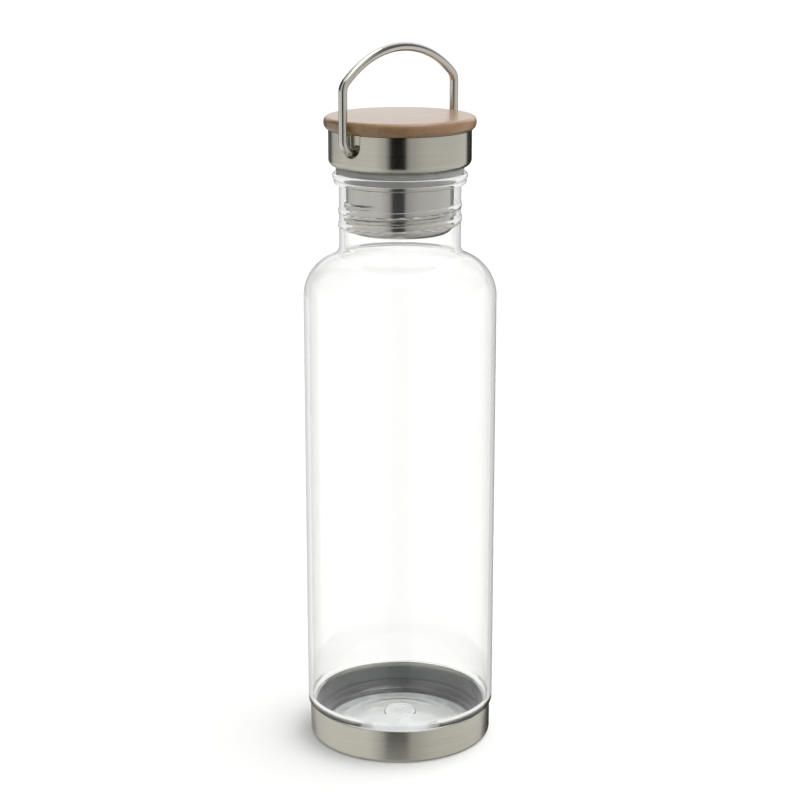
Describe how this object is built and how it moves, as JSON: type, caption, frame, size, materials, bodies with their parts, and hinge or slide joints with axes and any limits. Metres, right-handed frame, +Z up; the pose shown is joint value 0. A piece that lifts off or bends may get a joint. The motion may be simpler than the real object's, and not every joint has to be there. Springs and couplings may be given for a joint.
{
  "type": "water bottle",
  "caption": "Round clear water bottle in a steel foot cup, with a screw lid that has a threaded steel plug, a silicone seal, a bamboo top and a swinging wire handle.",
  "frame": {"origin": "middle of the foot, on the surface that the bottle stands on", "axes": "+Z up the bottle's axis, X along the handle's pivots, Y the way the handle swings"},
  "size_m": [0.0746, 0.0746, 0.2767],
  "materials": {
    "clear_glass": "clear, polished",
    "cup_steel": "brushed round the cup",
    "lid_steel": "brushed round the shell",
    "plug_steel": "satin",
    "handle_steel": "polished stainless wire",
    "silicone": "translucent satin",
    "core_plastic": "moulded",
    "adhesive": "cured clear adhesive",
    "bamboo": "sanded, oiled"
  },
  "bodies": {
    "bottle": {"glass_bottle": "clear_glass", "base_cup": "cup_steel", "base_adhesive": "adhesive"},
    "seal": {"seal_ring": "silicone"},
    "lid": {"lid_shell": "lid_steel", "lid_core": "core_plastic", "plug_cup": "plug_steel", "disc_adhesive": "adhesive", "bamboo_disc": "bamboo"},
    "handle": {"bail_handle": "handle_steel"}
  },
  "joints": [
    {"name": "lid_lift", "type": "slide", "parent": "bottle", "child": "seal", "axis": [0, 0, 1], "range_m": [0, 0.0318]},
    {"name": "lid_turn", "type": "hinge", "parent": "seal", "child": "lid", "pos_m": [0, 0, 0.2305], "axis": [0, 0, 1], "range_deg": [0, 2160]},
    {"name": "handle_swing", "type": "hinge", "parent": "lid", "child": "handle", "pos_m": [0, 0, 0.2385], "axis": [1, 0, 0], "range_deg": [-135, 135]}
  ],
  "couplings": [
    {"joint": "lid_lift", "follows": "lid_turn", "m_per_rad": 0.00084352}
  ]
}
